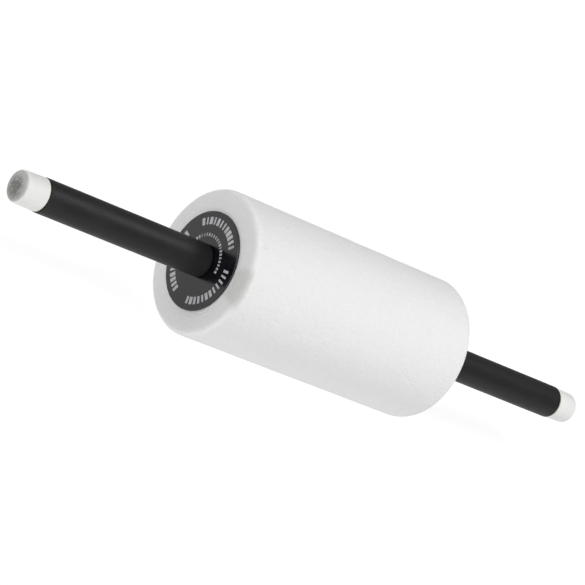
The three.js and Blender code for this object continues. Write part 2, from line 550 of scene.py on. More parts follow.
@dataclass(frozen=True)
class FoamFinish(Finish):
    """White closed-cell foam: a pebbled skin, greyer where it was cut across, with a few creases; painted
    shade in its pits, its creases, its end faces and a patch of its left-hand rim, and a painted highlight
    on its rounded rims.

    Attributes:
        radius: the drum's radius.
        half_length: half its length.
        edge_round: the rounding of its edges.
        creases: its creases.
        smudge_angle: where the patch of painted shade lies around the drum, in degrees.
        smudge_sweep: how far it reaches to each side, in degrees.
        smudge_inner: how far in from the drum's side it begins.
        smudge_full: how far in it is at its full strength.
        coarse: how much larger the coarse cells are than the fine ones.
        coarse_height: how much higher they stand.
    """

    name = "white_foam"
    radius: float
    half_length: float
    edge_round: float
    creases: tuple[Crease, ...]
    colour: Colour = (0.87, 0.87, 0.87)
    pit_colour: Colour = (0.66, 0.66, 0.66)
    pit_share: float = 0.25
    cut_colour: Colour = (0.785, 0.785, 0.79)
    rim_colour: Colour = (0.93, 0.93, 0.93)
    rim_share: float = 0.3
    crease_share: float = 0.2
    crease_depth: float = 0.8
    smudge_colour: Colour = (0.56, 0.565, 0.53)
    smudge_share: float = 0.65
    smudge_angle: float = -69.0
    smudge_sweep: float = 21.0
    smudge_inner: float = 28 * MM
    smudge_full: float = 18 * MM
    cell: float = 1.4 * MM
    coarse: float = 3.2
    coarse_height: float = 1.2
    depth: float = 0.2 * MM
    roughness: float = 0.75
    specular: float = 0.3
    marks: Handling = Handling((0.76, 0.76, 0.72), 0.07, 45 * MM)

    def crease_mask(self, coat: Coat, crease: Crease) -> Socket:
        """Builds a mask that is one along a crease and zero away from it.

        Args:
            coat: the material under construction.
            crease: the crease.

        Returns:
            The mask.
        """
        graph = coat.graph
        run = graph.minus(coat.place["Along"], crease.start)
        run = graph.math("DIVIDE", run, crease.length)
        turn = graph.minus(coat.place["Around"], math.radians(crease.angle))
        stray = graph.times(run, crease.slant)
        aside = graph.minus(graph.times(turn, self.radius), stray)
        thin = graph.ramp(graph.math("ABSOLUTE", aside), crease.core, crease.fade, start=1.0, end=0.0)
        begins = graph.ramp(run, low=0.0, high=0.35)
        ends = graph.ramp(run, low=0.6, high=1.0, start=1.0, end=0.0)
        return graph.times(thin, graph.times(begins, ends))

    def smudge_mask(self, coat: Coat) -> Socket:
        """Builds a mask for a soft patch of painted shade on the drum's left-hand rim.

        Args:
            coat: the material under construction.

        Returns:
            The mask.
        """
        graph, place = coat.graph, coat.place
        turn = graph.minus(place["Around"], math.radians(self.smudge_angle))
        sweep = math.radians(self.smudge_sweep)
        around = graph.ramp(graph.math("ABSOLUTE", turn), 0.5 * sweep, sweep, start=1.0, end=0.0)
        out = graph.ramp(place["Radius"], self.radius - self.smudge_inner, self.radius - self.smudge_full)
        edge = -self.half_length
        at_edge = graph.ramp(place["Along"], edge + 1 * MM, edge + 6 * MM, self.smudge_share, 0.0)
        return graph.times(around, graph.times(out, at_edge))

    def paint(self, coat: Coat) -> None:
        """Paints the foam's material.

        Args:
            coat: the material under construction.
        """
        graph, place = coat.graph, coat.place
        fine = coat.effect(EFFECTS.cells, Cell_Size=self.cell, Unevenness=0.9)
        coarse = coat.effect(EFFECTS.cells, Cell_Size=self.coarse * self.cell, Unevenness=1.0)
        # The cut end faces are greyer: partly the cut foam's own grey, partly painted shade for the weaker
        # light on the end faces.
        cut = graph.ramp(place["From Middle"], self.half_length - 0.3 * self.edge_round, self.half_length)
        colour = graph.blend(cut, rgba(self.colour), rgba(self.cut_colour))
        # Painted shade: the pits between the foam's cells are darkened towards a shade grey.
        pits = graph.times(fine["Pits"], self.pit_share)
        colour = graph.blend(pits, colour, rgba(self.pit_colour))
        # Painted highlight: the rounded rim between the end faces and the side is lightened.
        rounded = graph.ramp(place["From Middle"], self.half_length - self.edge_round, self.half_length)
        outer = self.radius - 0.8 * self.edge_round
        at_side = graph.ramp(place["Radius"], outer, self.radius, end=self.rim_share)
        colour = graph.blend(graph.times(rounded, at_side), colour, rgba(self.rim_colour))
        creased, *others = [self.crease_mask(coat, crease) for crease in self.creases]
        for mask in others:
            creased = graph.math("MAXIMUM", creased, mask)
        # Painted shade: the creases are darkened with the same shade grey as the pits, beside their real
        # dent in the relief below.
        shade = graph.times(creased, self.crease_share)
        colour = graph.blend(shade, colour, rgba(self.pit_colour))
        # Painted shade: a soft grey patch on the left-hand rim, beside the hub disc.
        colour = graph.blend(self.smudge_mask(coat), colour, rgba(self.smudge_colour))
        coat.fix(Specular_IOR_Level=self.specular)
        coat.handle(colour, self.roughness, self.marks)
        swell = graph.times(coarse["Height"], self.coarse_height)
        height = graph.plus(fine["Height"], swell)
        sunk = graph.times(creased, self.crease_depth)
        coat.relief(graph.minus(height, sunk), self.depth)


@dataclass(frozen=True)
class GripFinish(Finish):
    """Matte black foam rubber: fine open pores darkened with painted shade, rubbed a little paler at the
    sleeve's outer end.
    """

    name = "black_grip_foam"
    outer_end: float
    colour: Colour = (0.018, 0.0175, 0.018)
    worn_colour: Colour = (0.045, 0.044, 0.044)
    worn_width: float = 2 * MM
    pore_colour: Colour = (0.006, 0.006, 0.006)
    pore_share: float = 0.6
    pore: float = 0.8 * MM
    depth: float = 0.1 * MM
    roughness: float = 0.42
    specular: float = 0.2
    marks: Handling = Handling(worn_colour, 0.1, 35 * MM, 0.08)

    def paint(self, coat: Coat) -> None:
        """Paints the grips' material.

        Args:
            coat: the material under construction.
        """
        pores = coat.effect(EFFECTS.cells, Cell_Size=self.pore, Unevenness=0.7)
        measure = coat.place["From Middle"]
        colour = coat.worn(self.colour, self.worn_colour, measure, self.outer_end, self.worn_width)
        # Painted shade: the pores are darkened towards near-black.
        pits = coat.graph.times(pores["Pits"], self.pore_share)
        coat.fix(Specular_IOR_Level=self.specular)
        coat.handle(coat.graph.blend(pits, colour, rgba(self.pore_colour)), self.roughness, self.marks)
        coat.relief(pores["Height"], self.depth)


@dataclass(frozen=True)
class HubFinish(Finish):
    """Glossy black moulded plastic, faintly wavy, with rubbed edges and dust patches, partly real dust and
    partly a painted sheen that lightens the disc.
    """

    name = "gloss_black_plastic"
    disc_radius: float
    colour: Colour = (0.0023, 0.002, 0.0042)
    worn_colour: Colour = (0.05, 0.05, 0.052)
    worn_width: float = 0.8 * MM
    roughness: float = 0.16
    specular: float = 0.68
    # Dust patches on the disc: partly real dust, partly a painted sheen that lightens the disc's plain
    # black.
    marks: Handling = Handling((0.0135, 0.0125, 0.0165), 0.45, 20 * MM, 0.04)
    grain: Grain = Grain(20 * MM, 0.5 * MM, 0.03, 0.15 * MM, 0.5)

    def paint(self, coat: Coat) -> None:
        """Paints the hub discs' material.

        Args:
            coat: the material under construction.
        """
        measure = coat.place["Radius"]
        colour = coat.worn(self.colour, self.worn_colour, measure, self.disc_radius, self.worn_width)
        coat.fix(Specular_IOR_Level=self.specular)
        coat.handle(colour, self.roughness, self.marks)
        coat.relief(coat.skin(self.grain), self.grain.depth, self.grain.strength)


@dataclass(frozen=True)
class CapFinish(Finish):
    """Milky soft plastic over a tube: bright where the tube backs it, with painted shade for the tube's dark
    hollow seen grey through its face.

    Attributes:
        half_length: how far the cap's face is from the bar's middle.
        dome: how far the face bulges.
        rim_round: the radius of its rim.
        face_radius: its radius at the face.
        mouth: how far its mouth is from the bar's middle.
        mouth_band: how far the mouth's own tint reaches.
        sag: how far the painted shade sits below the middle of the face, as a share of its radius.
        mottle: how many of the face's mottles there are to a metre.
        wander: how far the mottles push the grey about.
        dimple: how deep the mottles are beside the grain.
    """

    name = "milky_plastic"
    half_length: float
    dome: float
    rim_round: float
    face_radius: float
    mouth: float
    colour: Colour = (0.87, 0.87, 0.86)
    mouth_colour: Colour = (0.87, 0.87, 0.82)
    mouth_band: float = 9 * MM
    ring_colour: Colour = (0.46, 0.46, 0.45)
    hollow_colour: Colour = (0.15, 0.155, 0.14)
    fleck_colour: Colour = (0.4, 0.4, 0.38)
    sag: float = 0.22
    mottle: float = 330.0
    wander: float = 5 * MM
    dimple: float = 3.0
    side_roughness: float = 0.5
    face_roughness: float = 0.15
    marks: Handling = Handling(ring_colour, 0.03, 12 * MM)
    grain: Grain = Grain(7 * MM, 0.7 * MM, 0.12, 0.1 * MM, 0.5)

    def face(self, coat: Coat, mottle: Socket) -> Socket:
        """Builds the colour of the face: painted shade for the tube's hollow, seen grey and flecked through
        the cap, darker towards the bottom.

        Args:
            coat: the material under construction.
            mottle: the face's mottles, from 0 to 1.

        Returns:
            The colour.
        """
        graph, place = coat.graph, coat.place
        uneven = graph.times(graph.minus(mottle, 0.5), self.wander)
        # Painted shade: the grey core is pushed downwards, so the face is darker towards the bottom.
        shade_lift = graph.times(graph.math("COSINE", place["Around"]), self.sag)
        reach = graph.times(place["Radius"], graph.plus(shade_lift, 1.0))
        reach = graph.plus(reach, uneven)
        within = graph.ramp(reach, 0.25 * self.face_radius, self.face_radius)
        flecks = graph.ramp(mottle, low=0.52, high=0.68, end=0.8)
        # Painted shade: the tube's dark hollow, seen through the cap's face as a grey core with lighter
        # flecks.
        hollow = graph.blend(flecks, rgba(self.hollow_colour), rgba(self.fleck_colour))
        return graph.blend(within, hollow, rgba(self.ring_colour))

    def paint(self, coat: Coat) -> None:
        """Paints the end caps' material.

        Args:
            coat: the material under construction.
        """
        graph, outwards = coat.graph, coat.place["From Middle"]
        mottle = graph.noise(coat.vector, self.mottle, detail=3.0, rough=0.6)
        from_mouth = graph.ramp(outwards, self.mouth, self.mouth + self.mouth_band)
        side = graph.blend(from_mouth, rgba(self.mouth_colour), rgba(self.colour))
        brow = self.half_length - self.dome
        front = graph.ramp(outwards, brow - 0.6 * self.rim_round, brow)
        roughness = graph.share(front, self.side_roughness, self.face_roughness)
        coat.handle(graph.blend(front, side, self.face(coat, mottle)), roughness, self.marks)
        dimples = graph.times(graph.times(mottle, front), self.dimple)
        height = graph.plus(coat.skin(self.grain), dimples)
        coat.relief(height, self.grain.depth, self.grain.strength)


@dataclass(frozen=True)
class PlainFinish(Finish):
    """A finish of one colour under its marks and grain: print, and the pieces inside.

    Attributes:
        name: the material's name.
        colour: its clean colour.
        roughness: its clean roughness.
        marks: its rubbed or soiled patches.
        grain: its relief.
        metallic: one for metal.
    """

    name: str
    colour: Colour
    roughness: float
    marks: Handling
    grain: Grain
    metallic: float = 0.0

    def paint(self, coat: Coat) -> None:
        """Paints the material.

        Args:
            coat: the material under construction.
        """
        coat.fix(Metallic=self.metallic)
        coat.handle(rgba(self.colour), self.roughness, self.marks)
        coat.relief(coat.skin(self.grain), self.grain.depth, self.grain.strength)


# ---------------------------------------------------------------------------------- shapes


@dataclass(frozen=True)
class Span:
    """Where a turned CAD node lies.

    Attributes:
        start: its lowest X.
        end: its highest X.
        radius: its outer radius.
        axis_height: the height of its axis.
    """

    start: float
    end: float
    radius: float
    axis_height: float

    @classmethod
    def of(cls, node: str) -> "Span":
        """Measures a CAD node."""
        low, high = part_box(node)
        return cls(low.x, high.x, (high.z - low.z) / 2, (high.z + low.z) / 2)


class Recipe:
    """A Geometry Nodes tree that grows pieces from named sizes."""

    name = "recipe"
    inputs: list[Port] = []

    def __init__(self) -> None:
        """Builds the tree once."""
        self.graph = Graph.group(self.name, "GeometryNodeTree", self.inputs, [Port("Geometry", "Geometry")])
        self.given = self.graph.entry.outputs
        self.build()

    def build(self) -> None:
        """Builds the tree's nodes from its inputs."""
        raise NotImplementedError

    def close(self, geometry: Socket, material: Socket) -> None:
        """Ends the tree: smooth shading, real geometry and a material.

        Args:
            geometry: what the tree has made.
            material: the material that it gets.
        """
        smooth = self.graph.take("GeometryNodeSetShadeSmooth", {"Geometry": geometry})
        real = self.graph.take("GeometryNodeRealizeInstances", {"Geometry": smooth})
        inputs = {"Geometry": real, "Material": material}
        self.graph.finish(Geometry=self.graph.take("GeometryNodeSetMaterial", inputs))

    def grow(self, name: str, **values: object) -> bpy.types.Object:
        """Makes one plain mesh from the tree.

        Args:
            name: the piece's name.
            **values: the tree's inputs, an underscore standing for a space.

        Returns:
            The piece, at the origin, with no modifier left on it.
        """
        piece = bpy.data.objects.new(name, bpy.data.meshes.new(name))
        bpy.context.scene.collection.objects.link(piece)
        modifier = piece.modifiers.new(self.name, "NODES")
        modifier.node_group = self.graph.tree
        for item in self.graph.tree.interface.items_tree:
            key = item.name.replace(" ", "_")
            if item.in_out == "INPUT" and key in values:
                modifier[item.identifier] = values[key]
        seen = piece.evaluated_get(bpy.context.evaluated_depsgraph_get())
        grown = bpy.data.meshes.new_from_object(seen)
        grown.materials.clear()
        grown.materials.append(values["Material"])
        piece.modifiers.remove(modifier)
        piece.data = grown
        grown.name = name
        return piece


@dataclass(frozen=True)
class FoamShape:
    """How a foam ring is rounded, meshed and made uneven; its fields are inputs of TurnedRing.

    Attributes:
        outer_round: the rounding of its outer edges.
        inner_round: the rounding of its bore's edges.
        around: how many steps go round it.
        step: the length of a step along its section.
        wave_height: how far its long waves push the surface.
        wave_size: how long they are.
        pebble_height: how far its small lumps push the surface.
        pebble_size: how long they are.
    """

    outer_round: float
    inner_round: float
    around: int
    step: float
    wave_height: float
    wave_size: float
    pebble_height: float
    pebble_size: float


class TurnedRing(Recipe):
    """Grows a soft ring about the bar: a rounded section swept round it, its skin gently uneven."""

    name = "turned_ring"
    inputs = [
        Port("Start"),
        Port("End"),
        Port("Inner Radius"),
        Port("Outer Radius"),
        Port("Outer Round"),
        Port("Inner Round"),
        Port("Axis Height"),
        Port("Around", "Int", 96),
        Port("Step", value=2 * MM),
        Port("Wave Height"),
        Port("Wave Size", value=30 * MM),
        Port("Pebble Height"),
        Port("Pebble Size", value=5 * MM),
        Port("Seed"),
        Port("Material", "Material"),
    ]
    round_steps = 6

    def section(self) -> Socket:
        """Builds the ring's rounded section, its width along the bar and its height across the wall.

        Returns:
            The section's curve.
        """
        graph, given = self.graph, self.given
        width = graph.minus(given["End"], given["Start"])
        height = graph.minus(given["Outer Radius"], given["Inner Radius"])
        inputs = {"Width": height, "Height": width}
        box = graph.take("GeometryNodeCurvePrimitiveQuadrilateral", inputs, mode="RECTANGLE")
        position = graph.take("GeometryNodeInputPosition")
        outward = graph.take("ShaderNodeSeparateXYZ", {0: position})
        outer = graph.math("GREATER_THAN", outward, 0.0)
        rounding = graph.share(outer, given["Inner Round"], given["Outer Round"])
        inputs = {"Curve": box, "Count": self.round_steps, "Radius": rounding, "Limit Radius": True}
        rounded = graph.take("GeometryNodeFilletCurve", inputs, mode="POLY")
        inputs = {"Curve": rounded, "Length": given["Step"]}
        return graph.take("GeometryNodeResampleCurve", inputs, mode="LENGTH")

    def uneven(self, geometry: Socket, height: Socket, size: Socket, seed: Socket) -> Socket:
        """Pushes a surface in and out in soft lumps.

        Args:
            geometry: the surface.
            height: how far it is pushed at most.
            size: about how long a lump is.
            seed: what draws the lumps.

        Returns:
            The uneven surface.
        """
        graph = self.graph
        position = graph.take("GeometryNodeInputPosition")
        scale = graph.math("DIVIDE", 1.0, size)
        inputs = {"Vector": position, "W": seed, "Scale": scale, "Detail": 1.0}
        noise = graph.take("ShaderNodeTexNoise", inputs, noise_dimensions="4D")
        either_way = graph.minus(noise, 0.5)
        push = graph.times(either_way, graph.times(height, 2.0))
        inputs = {0: graph.take("GeometryNodeInputNormal"), "Scale": push}
        offset = graph.take("ShaderNodeVectorMath", inputs, operation="SCALE")
        return graph.take("GeometryNodeSetPosition", {"Geometry": geometry, "Offset": offset})

    def build(self) -> None:
        """Builds the tree's nodes."""
        graph, given = self.graph, self.given
        middle = graph.plus(given["Inner Radius"], given["Outer Radius"])
        inputs = {"Resolution": given["Around"], "Radius": graph.times(middle, 0.5)}
        circle = graph.take("GeometryNodeCurvePrimitiveCircle", inputs, mode="RADIUS")
        inputs = {"Curve": circle, "Profile Curve": self.section()}
        ring = graph.take("GeometryNodeCurveToMesh", inputs)
        centre = graph.times(graph.plus(given["Start"], given["End"]), 0.5)
        place = graph.take("ShaderNodeCombineXYZ", {"X": centre, "Z": given["Axis Height"]})
        inputs = {"Geometry": ring, "Translation": place, "Rotation": (0.0, math.pi / 2, 0.0)}
        turned = graph.take("GeometryNodeTransform", inputs)
        waved = self.uneven(turned, given["Wave Height"], given["Wave Size"], given["Seed"])
        pebbled = self.uneven(waved, given["Pebble Height"], given["Pebble Size"], given["Seed"])
        self.close(pebbled, given["Material"])

    def foam(
        self,
        name: str,
        span: Span,
        bore: float,
        shape: FoamShape,
        seed: float,
        material: bpy.types.Material,
    ) -> bpy.types.Object:
        """Grows one foam ring.

        Args:
            name: the piece's name.
            span: where it lies.
            bore: the radius of its bore.
            shape: its rounding, mesh and unevenness.
            seed: what draws its unevenness.
            material: its material.

        Returns:
            The piece.
        """
        return self.grow(
            name,
            Start=span.start,
            End=span.end,
            Inner_Radius=bore,
            Outer_Radius=span.radius,
            Axis_Height=span.axis_height,
            Seed=seed,
            Material=material,
            **as_inputs(shape),
        )


@dataclass(frozen=True)
class Marking:
    """One ring of printed bars; its fields are inputs of RingMarks.

    Attributes:
        groups: how many groups stand round the ring.
        marks: how many bars a group has.
        sweep: the angle that a group covers.
        turn: the angle of the first group's middle, from the top.
        ring_radius: the ring's radius.
        length: how long a bar is, outwards.
        widest: how wide a bar may be.
        narrowest: how narrow it may be.
        seed: what draws the widths.
    """

    groups: int
    marks: int
    sweep: float
    turn: float
    ring_radius: float
    length: float
    widest: float
    narrowest: float
    seed: int


class RingMarks(Recipe):
    """Grows groups of plain bars on a disc's face, set round a circle like a graduated scale."""

    name = "ring_marks"
    inputs = [
        Port("Groups", "Int", 3),
        Port("Marks", "Int", 12),
        Port("Sweep", value=1.5),
        Port("Turn"),
        Port("Ring Radius"),
        Port("Length"),
        Port("Widest"),
        Port("Narrowest"),
        Port("Thickness"),
        Port("Face"),
        Port("Axis Height"),
        Port("Seed", "Int", 0),
        Port("Material", "Material"),
    ]
    bar_width = 1 * MM
    corner = 0.2 * MM
    corner_steps = 2

    def bar(self) -> Socket:
        """Builds one bar a millimetre wide, with rounded corners and closed faces.

        Returns:
            The bar's mesh.
        """
        graph, given = self.graph, self.given
        inputs = {"Width": self.bar_width, "Height": given["Length"]}
        box = graph.take("GeometryNodeCurvePrimitiveQuadrilateral", inputs, mode="RECTANGLE")
        inputs = {"Curve": box, "Count": self.corner_steps, "Radius": self.corner, "Limit Radius": True}
        rounded = graph.take("GeometryNodeFilletCurve", inputs, mode="POLY")
        end = graph.take("ShaderNodeCombineXYZ", {"Z": given["Thickness"]})
        inputs = {"Start": (0.0, 0.0, 0.0), "End": end}
        stalk = graph.take("GeometryNodeCurvePrimitiveLine", inputs, mode="POINTS")
        inputs = {"Curve": stalk, "Profile Curve": rounded, "Fill Caps": True}
        return graph.take("GeometryNodeCurveToMesh", inputs)

    def angles(self) -> Socket:
        """Works out the angle of each bar from the top.

        Returns:
            The angle of the bar of each index.
        """
        graph, given = self.graph, self.given
        index = graph.take("GeometryNodeInputIndex")
        group = graph.math("FLOOR", graph.math("DIVIDE", index, given["Marks"]))
        in_group = graph.minus(index, graph.times(group, given["Marks"]))
        share = graph.math("DIVIDE", graph.plus(in_group, 0.5), given["Marks"])
        swept = graph.times(graph.minus(share, 0.5), given["Sweep"])
        stride = graph.math("DIVIDE", math.tau, given["Groups"])
        turned = graph.plus(graph.times(group, stride), given["Turn"])
        return graph.plus(turned, swept)

    def build(self) -> None:
        """Builds the tree's nodes."""
        graph, given = self.graph, self.given
        angle = self.angles()
        leftwards = graph.times(given["Ring Radius"], -1.0)
        across = graph.times(graph.math("SINE", angle), leftwards)
        up = graph.times(graph.math("COSINE", angle), given["Ring Radius"])
        height = graph.plus(up, given["Axis Height"])
        place = graph.take("ShaderNodeCombineXYZ", {"X": given["Face"], "Y": across, "Z": height})
        count = graph.times(given["Groups"], given["Marks"])
        points = graph.take("GeometryNodePoints", {"Count": count, "Position": place})
        inputs = {2: given["Narrowest"], 3: given["Widest"], "Seed": given["Seed"]}
        width = graph.add("FunctionNodeRandomValue", inputs, data_type="FLOAT").outputs[1]
        widths = graph.math("DIVIDE", width, self.bar_width)
        lay_flat = graph.take("ShaderNodeCombineXYZ", {"X": angle})
        scale = graph.take("ShaderNodeCombineXYZ", {"X": 1.0, "Y": widths, "Z": 1.0})
        inputs = {"Geometry": self.bar(), "Rotation": (math.pi / 2, 0.0, math.pi / 2)}
        upright = graph.take("GeometryNodeTransform", inputs)
        inputs = {"Points": points, "Instance": upright, "Rotation": lay_flat, "Scale": scale}
        self.close(graph.take("GeometryNodeInstanceOnPoints", inputs), given["Material"])


Outline = list[tuple[float, float]]


def arc(along: float, radius: float, size: float, start: float, end: float, steps: int = 8) -> Outline:
    """Points of an arc in an outline.

    Args:
        along: the centre's place along the bar.
        radius: the centre's distance from the axis.
        size: the arc's radius.
        start: its first angle in degrees, with zero along the bar and ninety outwards.
        end: its last angle.
        steps: how many straight steps it has.

    Returns:
        The points, in order.
    """
    angles = [math.radians(start + (end - start) * i / steps) for i in range(steps + 1)]
    return [(along + size * math.cos(a), radius + size * math.sin(a)) for a in angles]


def turned_mesh(
    name: str,
    outline: Outline,
    end: End,
    around: int,
    axis_height: float,
    sharpest: float,
    material: bpy.types.Material,
) -> bpy.types.Object:
    """Turns an outline about the bar's axis into a closed mesh.

    Args:
        name: the piece's name.
        outline: (distance from the bar's middle, radius) points, whose ends are on the axis or joined.
        end: the end of the bar that it is at.
        around: how many steps go round the axis.
        axis_height: the height of the axis.
        sharpest: the angle, in degrees, past which an edge stays crisp.
        material: the piece's material.

    Returns:
        The piece.
    """
    mesh = bmesh.new()
    rings = []
    for outwards, radius in outline:
        steps = around if radius > 0 else 1
        angles = [math.tau * i / around for i in range(steps)]
        along = end.value * outwards
        corners = [(along, radius * math.sin(a), axis_height + radius * math.cos(a)) for a in angles]
        rings.append([mesh.verts.new(corner) for corner in corners])
    follows = list(zip(rings, rings[1:]))
    if len(rings[0]) > 1:
        follows.append((rings[-1], rings[0]))
    for first, second in follows:
        for i in range(around):
            j = (i + 1) % around
            loop = [ring[k % len(ring)] for ring, k in ((first, i), (first, j), (second, j), (second, i))]
            mesh.faces.new(list(dict.fromkeys(loop)))
    bmesh.ops.recalc_face_normals(mesh, faces=mesh.faces)
    data = bpy.data.meshes.new(name)
    mesh.to_mesh(data)
    mesh.free()
    data.polygons.foreach_set("use_smooth", [True] * len(data.polygons))
    data.set_sharp_from_angle(angle=math.radians(sharpest))
    data.materials.append(material)
    piece = bpy.data.objects.new(name, data)
    bpy.context.scene.collection.objects.link(piece)
    return piece


def settle(piece: bpy.types.Object, body: Body, slot: Slot, *nodes: str) -> None:
    """Fixes a finished piece to its body and hides the CAD nodes that it stands for.

    Args:
        piece: the finished piece.
        body: the body that it moves with.
        slot: its material slot, which is not used.
        *nodes: the CAD nodes that it replaces.
    """
    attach(piece, body.value)
    if nodes:
        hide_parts(*nodes)
    triangles = sum(len(face.vertices) - 2 for face in piece.data.polygons)
    LOG.info("%s: %d triangles, rides on %s", piece.name, triangles, body.value)


# ------------------------------------------------------------------------------ the object


@dataclass
class Drum:
    """The foam drum with its hubs, which turns freely on the bar.

    Attributes:
        foam: where the foam lies.
        liner: where the liner in its bore lies.
        shape: the foam's rounding, mesh and unevenness.
        seed: what draws the unevenness.
        disc_edge_round: the rounding of a hub disc's edge.
        disc_thickness: how thick a disc is.
        disc_steps: how many steps go round a disc.
        crisp: the angle, in degrees, past which a disc's edge stays crisp.
        liner_wall: how thick the liner is.
        bush_barrel_radius: the radius of the bush in a hub.
        fit_gap: the gap between pieces that fit in each other.
        print_thickness: how far the print stands out of a disc, and how deep it reaches in.
        print_finish: the finish of the print.
        markings: the print's rings, by the stem of their pieces' names.
    """

    foam: Span = field(default_factory=lambda: Span.of("foam_drum"))
    liner: Span = field(default_factory=lambda: Span.of("drum_liner"))
    shape: FoamShape = FoamShape(
        outer_round=7 * MM,
        inner_round=1 * MM,
        around=260,
        step=1.9 * MM,
        wave_height=0.35 * MM,
        wave_size=38 * MM,
        pebble_height=0.12 * MM,
        pebble_size=5 * MM,
    )
    seed: float = 3.0
    disc_edge_round: float = 0.5 * MM
    disc_thickness: float = 2 * MM
    disc_steps: int = 160
    crisp: float = 35.0
    liner_wall: float = 3 * MM
    bush_barrel_radius: float = 16.4 * MM
    fit_gap: float = 0.3 * MM
    print_thickness: float = 0.06 * MM
    print_finish: PlainFinish = PlainFinish(
        "pale_print",
        (0.5, 0.5, 0.52),
        0.35,
        Handling((0.24, 0.24, 0.25), 0.5, 12 * MM),
        Grain(6 * MM, 0.4 * MM, 0.5, 0.02 * MM),
    )
    markings: tuple[tuple[str, Marking], ...] = (
        (
            "hub_scale",
            Marking(
                groups=3,
                marks=12,
                sweep=math.radians(93),
                turn=math.radians(-15.5),
                ring_radius=40.5 * MM,
                length=7.5 * MM,
                widest=4.6 * MM,
                narrowest=1.8 * MM,
                seed=4,
            ),
        ),
        (
            "hub_ticks",
            Marking(
                groups=1,
                marks=22,
                sweep=math.radians(172),
                turn=math.radians(-10),
                ring_radius=26.4 * MM,
                length=3.3 * MM,
                widest=2.6 * MM,
                narrowest=1.0 * MM,
                seed=9,
            ),
        ),
    )

    def build(self, rings: TurnedRing, marks: RingMarks) -> None:
        """Makes and dresses every piece of the drum.

        Args:
            rings: the tree that grows its foam.
            marks: the tree that grows its print.
        """
        self.build_foam(rings)
        height = self.foam.axis_height
        plastic = HubFinish(Span.of("hub_disc_left").radius).material(height)
        ink = self.print_finish.material(height)
        for end in End:
            self.build_hub(end, plastic)
            self.build_print(end, marks, ink)

    def build_foam(self, rings: TurnedRing) -> None:
        """Makes the foam drum.

        Args:
            rings: the tree that grows it.
        """
        half = self.foam.end
        creases = (
            Crease(-half + 3 * MM, 17 * MM, -33.3),
            Crease(half - 4 * MM, -15 * MM, 118.0, -1.5 * MM),
            Crease(-half + 5 * MM, 12 * MM, 152.0, -1 * MM),
        )
        finish = FoamFinish(self.foam.radius, half, self.shape.outer_round, creases)
        foam = finish.material(self.foam.axis_height)
        bore = self.liner.radius + self.fit_gap
        piece = rings.foam("foam_drum_skin", self.foam, bore, self.shape, self.seed, foam)
        settle(piece, Body.DRUM, Slot.FOAM, "foam_drum")

    def build_hub(self, end: End, plastic: bpy.types.Material) -> None:
        """Makes one hub: a thin disc against the foam and a spigot inside the drum's liner.

        Args:
            end: the end of the drum that it is at.
            plastic: its material.
        """
        node = f"hub_disc_{end.label}"
        span = Span.of(node)
        inner, outer = sorted((abs(span.start), abs(span.end)))
        bore = self.bush_barrel_radius + self.fit_gap
        spigot = self.liner.radius - self.liner_wall - self.fit_gap
        back = outer - self.disc_thickness
        edge = self.disc_edge_round
        outline = [
            (inner, bore),
            (inner, spigot),
            (back, spigot),
            (back, span.radius),
            *arc(outer - edge, span.radius - edge, edge, 90.0, 0.0),
            (outer, bore),
        ]
        name = f"hub_plate_{end.label}"
        piece = turned_mesh(name, outline, end, self.disc_steps, span.axis_height, self.crisp, plastic)
        settle(piece, Body.DRUM, Slot.HUB, node)

    def build_print(self, end: End, marks: RingMarks, ink: bpy.types.Material) -> None:
        """Prints plain bars on a hub disc: a wide ring in three groups and a fine ring inside it.

        Args:
            end: the end of the drum that the disc is at.
            marks: the tree that grows the bars.
            ink: their material.
        """
        disc = Span.of(f"hub_disc_{end.label}")
        face = disc.start if end is End.LEFT else disc.end
        for stem, marking in self.markings:
            piece = marks.grow(
                f"{stem}_{end.label}",
                Thickness=2 * self.print_thickness,
                Face=face - self.print_thickness,
                Axis_Height=self.foam.axis_height,
                Material=ink,
                **as_inputs(marking),
            )
            settle(piece, Body.DRUM, Slot.HUB)


